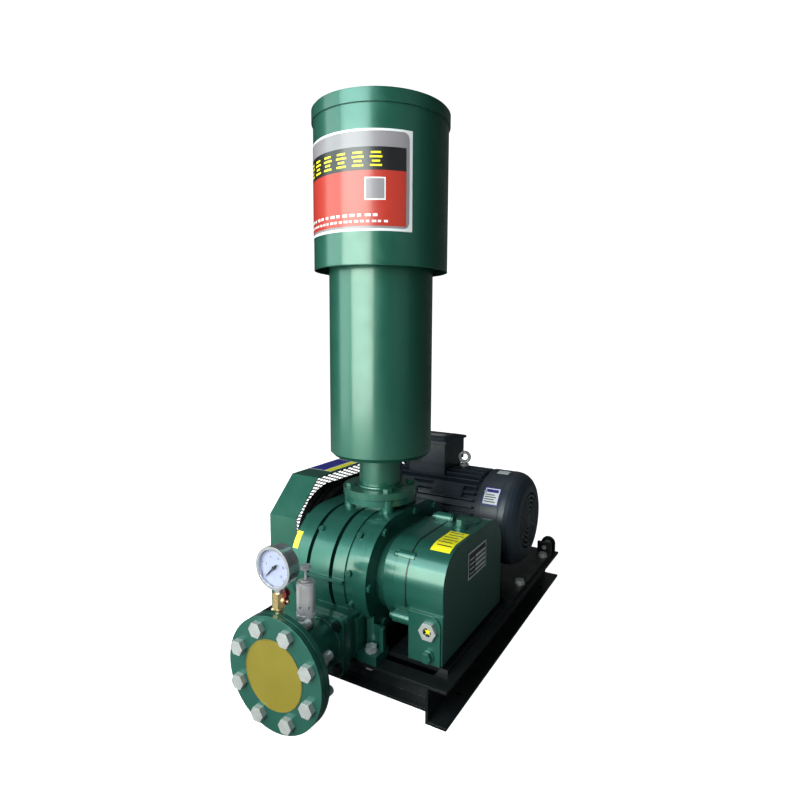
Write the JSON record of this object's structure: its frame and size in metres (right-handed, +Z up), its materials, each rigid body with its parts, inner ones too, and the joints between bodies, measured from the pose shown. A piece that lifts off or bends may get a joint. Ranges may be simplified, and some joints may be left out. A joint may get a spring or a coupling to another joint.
{
  "type": "roots_blower_set",
  "caption": "Three-lobe roots blower set on a steel base: belt drive with guard, finned motor, tall intake silencer, flanged discharge with gauge and relief valve.",
  "frame": {"origin": "middle of the four anchor holes, on the floor under the base", "axes": "+X along the rotor shafts towards the gear end, +Y from the discharge flange to the motor, +Z up"},
  "size_m": [0.47, 0.8935, 1.094],
  "materials": {
    "green_enamel": "metallic gloss",
    "green_cover": "gloss",
    "black_enamel": "gloss",
    "motor_enamel": "satin",
    "machined_steel": "machined",
    "plated_steel": "zinc plated",
    "cast_rotor": "machined",
    "pulley_iron": "oiled",
    "gasket": "matt",
    "belt_rubber": "matt",
    "brass": "satin",
    "red_lever": "gloss",
    "yellow_disc": "satin",
    "dial_white": "matt",
    "clear_glass": "clear",
    "fan_plastic": "matt"
  },
  "bodies": {
    "base": {"side_rails": "black_enamel", "cross_channels": "black_enamel", "bearing_plate": "black_enamel", "base_bolts": "plated_steel", "rotor_casing": "green_enamel", "drive_headplate": "green_enamel", "gear_headplate": "green_enamel", "headplate_bolts": "plated_steel", "shaft_bearings": "machined_steel", "shaft_seals": "gasket", "drive_end_covers": "green_enamel", "gear_case": "green_cover", "gear_cover": "green_cover", "cover_bolts": "green_cover", "filler_plug": "green_cover", "sight_glass_nut": "plated_steel", "sight_glass": "clear_glass", "drain_plug": "green_cover", "silencer_body": "green_enamel", "silencer_core": "machined_steel", "silencer_cap": "green_enamel", "silencer_lid": "green_enamel", "inlet_bolts": "green_enamel", "discharge_pipe": "green_enamel", "port_gaskets": "gasket", "square_flange_bolts": "black_enamel", "companion_flange": "green_enamel", "flange_bolts": "plated_steel", "cover_disc": "yellow_disc", "gauge_case": "plated_steel", "gauge_dial": "dial_white", "gauge_glass": "clear_glass", "gauge_cock": "brass", "relief_body": "plated_steel", "relief_spring": "machined_steel", "drive_belts": "belt_rubber", "guard_rim": "green_enamel", "guard_mesh": "black_enamel"},
    "drive_train": {"drive_rotor": "cast_rotor", "drive_shaft": "machined_steel", "drive_timing_gear": "machined_steel", "blower_pulley": "pulley_iron"},
    "driven_train": {"driven_rotor": "cast_rotor", "driven_shaft": "machined_steel", "driven_timing_gear": "machined_steel"},
    "motor_unit": {"motor_frame": "motor_enamel", "motor_end_shields": "motor_enamel", "fan_cowl": "motor_enamel", "terminal_box": "motor_enamel", "terminal_lid": "motor_enamel", "lifting_eye": "plated_steel", "slide_base": "black_enamel", "tension_rods": "plated_steel", "motor_bolts": "plated_steel"},
    "motor_spindle": {"motor_rotor": "machined_steel", "motor_pulley": "pulley_iron", "motor_fan": "fan_plastic"},
    "needle": {"gauge_needle": "black_enamel"},
    "cock": {"cock_lever": "red_lever"},
    "valve_stem": {"relief_stem": "plated_steel"}
  },
  "joints": [
    {"name": "drive_spin", "type": "hinge", "parent": "base", "child": "drive_train", "pos_m": [0, -0.131, 0.21], "axis": [1, 0, 0], "continuous": true},
    {"name": "driven_spin", "type": "hinge", "parent": "base", "child": "driven_train", "pos_m": [0, -0.241, 0.21], "axis": [1, 0, 0], "continuous": true},
    {"name": "belt_tension", "type": "slide", "parent": "base", "child": "motor_unit", "axis": [0, 1, 0], "range_m": [-0.012, 0.008], "deforming": ["drive_belts"]},
    {"name": "motor_spin", "type": "hinge", "parent": "motor_unit", "child": "motor_spindle", "pos_m": [0, 0.116, 0.23], "axis": [1, 0, 0], "continuous": true},
    {"name": "needle_turn", "type": "hinge", "parent": "base", "child": "needle", "pos_m": [-0.014, -0.494, 0.289], "axis": [0, 1, 0], "range_deg": [0, 270]},
    {"name": "lever_turn", "type": "hinge", "parent": "base", "child": "cock", "pos_m": [0.0013, -0.482, 0.231], "axis": [1, 0, 0], "range_deg": [0, 90]},
    {"name": "relief_lift", "type": "slide", "parent": "base", "child": "valve_stem", "axis": [0, 0, 1], "range_m": [0, 0.004], "stiffness_N_per_m": 2000, "deforming": ["relief_spring"]}
  ],
  "couplings": [
    {"joint": "driven_spin", "follows": "drive_spin", "ratio": -1},
    {"joint": "motor_spin", "follows": "drive_spin", "ratio": 1.2556}
  ]
}
